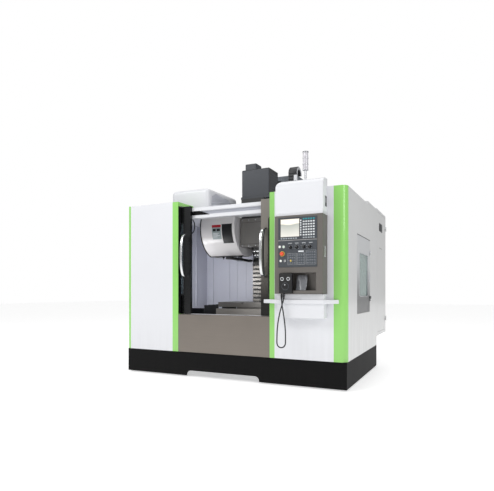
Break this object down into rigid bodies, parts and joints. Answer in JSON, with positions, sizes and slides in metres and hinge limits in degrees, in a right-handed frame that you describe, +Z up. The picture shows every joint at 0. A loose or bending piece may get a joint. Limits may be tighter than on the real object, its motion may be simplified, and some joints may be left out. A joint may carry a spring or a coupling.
{
  "type": "cnc machining center",
  "caption": "Vertical machining centre in a green and white enclosure with sliding doors, moving table and head, drum tool magazine, change arm and operator panel.",
  "frame": {"origin": "on the floor, under the middle of the machine's width and depth", "axes": "+X to the operator's right, +Y from the front to the back, +Z up"},
  "size_m": [2.617, 2.467, 2.6049],
  "materials": {
    "cast_iron_grey": "satin",
    "green_paint": "gloss",
    "white_paint": "satin",
    "black_paint": "satin",
    "slate_paint": "satin",
    "taupe_paint": "satin",
    "lining_paint": "satin",
    "door_metal": "satin",
    "stainless": "brushed",
    "ground_steel": "polished",
    "table_steel": "ground",
    "silver_bar": "satin",
    "pane": "gloss",
    "screen": "gloss",
    "lens": "gloss",
    "key_plastic": "satin",
    "plate_plastic": "satin",
    "black_plastic": "satin",
    "red_plastic": "gloss",
    "white_plastic": "gloss",
    "cord_rubber": "matt",
    "pad_rubber": "matt"
  },
  "bodies": {
    "machine": {"bed_casting": "cast_iron_grey", "column_casting": "slate_paint", "leveling_pads": "pad_rubber", "plinth_skirt": "black_paint", "chip_pan": "stainless", "front_panels": "white_paint", "corner_posts": "green_paint", "side_panels": "white_paint", "front_apron": "stainless", "door_header": "white_paint", "inner_walls": "lining_paint", "roof_panel": "lining_paint", "roof_hood": "white_paint", "panel_canopy": "white_paint", "panel_housing": "taupe_paint", "panel_plates": "plate_plastic", "display_glass": "screen", "panel_keys": "key_plastic", "panel_box": "white_paint", "signal_tower": "silver_bar", "signal_lenses": "lens", "electrical_cabinet": "white_paint", "axis_motors": "black_paint", "magazine_cover": "white_paint", "arm_drive": "cast_iron_grey", "mpg_housing": "black_plastic", "cable_glands": "black_plastic", "mpg_cord": "cord_rubber", "cable_chain": "black_plastic", "z_cover": "stainless"},
    "saddle": {"saddle": "cast_iron_grey", "x_motor": "black_paint", "saddle_guard": "stainless"},
    "table": {"table": "table_steel", "table_covers": "black_paint"},
    "x_screw": {"x_screw": "ground_steel"},
    "y_screw": {"y_screw": "ground_steel"},
    "z_screw": {"z_screw": "ground_steel"},
    "head": {"head_casting": "slate_paint", "head_cover": "taupe_paint", "spindle_motor": "slate_paint"},
    "spindle": {"spindle": "ground_steel"},
    "magazine": {"magazine_disc": "silver_bar"},
    "arm_shaft": {"arm_shaft": "ground_steel"},
    "change_arm": {"change_arm": "black_paint"},
    "left_door": {"left_door": "door_metal", "left_window": "pane", "left_handle": "silver_bar"},
    "right_door": {"right_door": "door_metal", "right_window": "pane", "right_handle": "silver_bar"},
    "side_door": {"side_door": "white_paint", "side_window": "pane"},
    "cabinet_door": {"cabinet_door": "white_paint"},
    "estop_button": {"estop_button": "red_plastic"},
    "mode_knob": {"mode_knob": "black_plastic"},
    "feed_knob": {"feed_knob": "black_plastic"},
    "spindle_knob": {"spindle_knob": "black_plastic"},
    "mpg_wheel": {"mpg_wheel": "black_plastic"},
    "cycle_button": {"cycle_button": "white_plastic"}
  },
  "joints": [
    {"name": "y_axis", "type": "slide", "parent": "machine", "child": "saddle", "axis": [0, 1, 0], "range_m": [-0.24, 0.2]},
    {"name": "x_axis", "type": "slide", "parent": "saddle", "child": "table", "axis": [1, 0, 0], "range_m": [-0.34, 0.34]},
    {"name": "z_axis", "type": "slide", "parent": "machine", "child": "head", "axis": [0, 0, 1], "range_m": [-0.48, 0], "deforming": ["z_cover", "cable_chain"]},
    {"name": "spindle_spin", "type": "hinge", "parent": "head", "child": "spindle", "pos_m": [-0.039, -0.0735, 1.371], "axis": [0, 0, 1], "continuous": true},
    {"name": "x_screw_turn", "type": "hinge", "parent": "saddle", "child": "x_screw", "pos_m": [-0.039, -0.0735, 0.6623], "axis": [1, 0, 0], "continuous": true},
    {"name": "y_screw_turn", "type": "hinge", "parent": "machine", "child": "y_screw", "pos_m": [-0.039, -0.0735, 0.53], "axis": [0, 1, 0], "continuous": true},
    {"name": "z_screw_turn", "type": "hinge", "parent": "machine", "child": "z_screw", "pos_m": [-0.039, 0.4965, 1.5], "axis": [0, 0, 1], "continuous": true},
    {"name": "magazine_spin", "type": "hinge", "parent": "machine", "child": "magazine", "pos_m": [-0.43, -0.0735, 1.64], "axis": [1, 0, 0], "continuous": true},
    {"name": "arm_drop", "type": "slide", "parent": "machine", "child": "arm_shaft", "axis": [0, 0, 1], "range_m": [-0.11, 0]},
    {"name": "arm_turn", "type": "hinge", "parent": "arm_shaft", "child": "change_arm", "pos_m": [-0.314, -0.0735, 1.348], "axis": [0, 0, 1], "range_deg": [0, 270]},
    {"name": "left_door_slide", "type": "slide", "parent": "machine", "child": "left_door", "axis": [1, 0, 0], "range_m": [0, 0.43]},
    {"name": "right_door_slide", "type": "slide", "parent": "machine", "child": "right_door", "axis": [1, 0, 0], "range_m": [-0.43, 0]},
    {"name": "side_door_hinge", "type": "hinge", "parent": "machine", "child": "side_door", "pos_m": [1.309, 0.0895, 1.117], "axis": [0, 0, 1], "range_deg": [0, 110]},
    {"name": "cabinet_door_hinge", "type": "hinge", "parent": "machine", "child": "cabinet_door", "pos_m": [1.309, 1.2045, 1.185], "axis": [0, 0, 1], "range_deg": [0, 110]},
    {"name": "estop_press", "type": "slide", "parent": "machine", "child": "estop_button", "axis": [0, 1, 0], "range_m": [0, 0.006], "stiffness_N_per_m": 800},
    {"name": "cycle_press", "type": "slide", "parent": "machine", "child": "cycle_button", "axis": [0, 1, 0], "range_m": [0, 0.003], "stiffness_N_per_m": 500},
    {"name": "mode_turn", "type": "hinge", "parent": "machine", "child": "mode_knob", "pos_m": [0.796, -1.1985, 1.356], "axis": [0, -1, 0], "range_deg": [-120, 120]},
    {"name": "feed_turn", "type": "hinge", "parent": "machine", "child": "feed_knob", "pos_m": [0.861, -1.1985, 1.356], "axis": [0, -1, 0], "range_deg": [-135, 135]},
    {"name": "spindle_knob_turn", "type": "hinge", "parent": "machine", "child": "spindle_knob", "pos_m": [0.931, -1.1985, 1.356], "axis": [0, -1, 0], "range_deg": [-120, 120]},
    {"name": "mpg_turn", "type": "hinge", "parent": "machine", "child": "mpg_wheel", "pos_m": [0.757, -1.2235, 0.985], "axis": [0, -1, 0], "continuous": true}
  ],
  "couplings": [
    {"joint": "x_screw_turn", "follows": "x_axis", "rad_per_m": 392.7},
    {"joint": "y_screw_turn", "follows": "y_axis", "rad_per_m": 392.7},
    {"joint": "z_screw_turn", "follows": "z_axis", "rad_per_m": 392.7}
  ]
}
